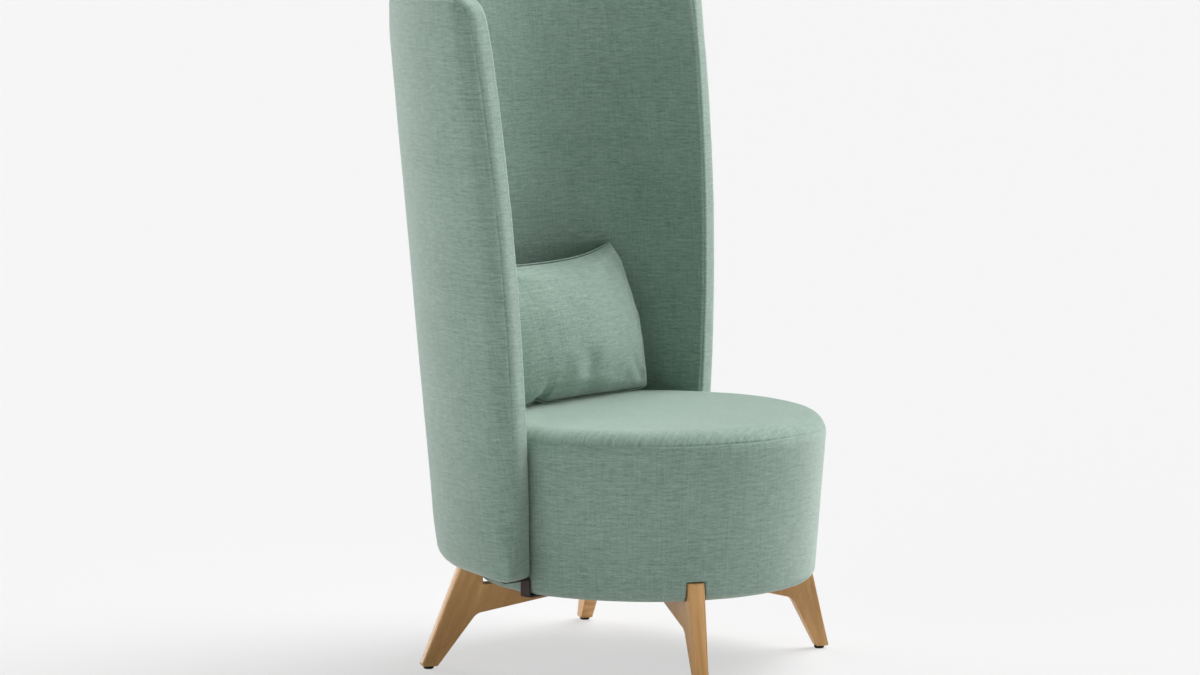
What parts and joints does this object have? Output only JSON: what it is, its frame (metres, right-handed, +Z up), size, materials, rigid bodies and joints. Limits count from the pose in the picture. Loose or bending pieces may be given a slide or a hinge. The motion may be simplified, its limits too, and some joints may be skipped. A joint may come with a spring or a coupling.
{
  "type": "acoustic high back lounge chair",
  "caption": "High-backed lounge chair: a round upholstered seat on splayed wooden legs, wrapped by a tall curved upholstered shell, with a loose lumbar pillow.",
  "frame": {"origin": "on the floor, under the middle of the chair's footprint", "axes": "+Z up, -Y the way the sitter faces, +X to the sitter's left"},
  "size_m": [0.9128, 0.7991, 1.225],
  "materials": {
    "cover": "sage-mint melange plain-weave wool with fine slubs, matt",
    "foam": "cut polyurethane foam, cream, matt (hidden)",
    "dust_cloth": "black non-woven cloth, matt",
    "webbing": "black woven elastic webbing (hidden)",
    "plywood": "raw birch plywood (hidden)",
    "oak": "clear-lacquered oak, low satin sheen, grain along the leg",
    "zinc_steel": "zinc-plated steel, dull",
    "brown_steel": "dark brown powder coat, satin",
    "glide": "black moulded plastic, matt"
  },
  "bodies": {
    "chair": {"seat_board": "plywood", "seat_hoop": "plywood", "seat_ring": "plywood", "webbing_across": "webbing", "webbing_lengthwise": "webbing", "seat_top_foam": "foam", "seat_side_foam": "foam", "seat_side_cover": "cover", "seat_top_cover": "cover", "dust_cover": "dust_cloth", "shell_core": "plywood", "shell_inner_foam": "foam", "shell_outer_foam": "foam", "shell_inner_cover": "cover", "shell_outer_cover": "cover", "shell_edge_band": "cover", "shell_spacers": "zinc_steel", "shell_bolts": "zinc_steel", "shell_inserts": "zinc_steel", "wing_strap_left": "brown_steel", "wing_strap_right": "brown_steel", "strap_screws": "brown_steel", "front_leg_left": "oak", "front_leg_right": "oak", "back_leg_left": "oak", "back_leg_right": "oak", "leg_bolts": "zinc_steel", "leg_inserts": "zinc_steel", "leg_glides": "glide"},
    "pillow": {"pillow_cover": "cover", "pillow_insert": "foam"}
  },
  "joints": [
    {"name": "pillow_lift", "type": "slide", "parent": "chair", "child": "pillow", "axis": [0, 0, 1], "range_m": [0, 0.8]}
  ]
}
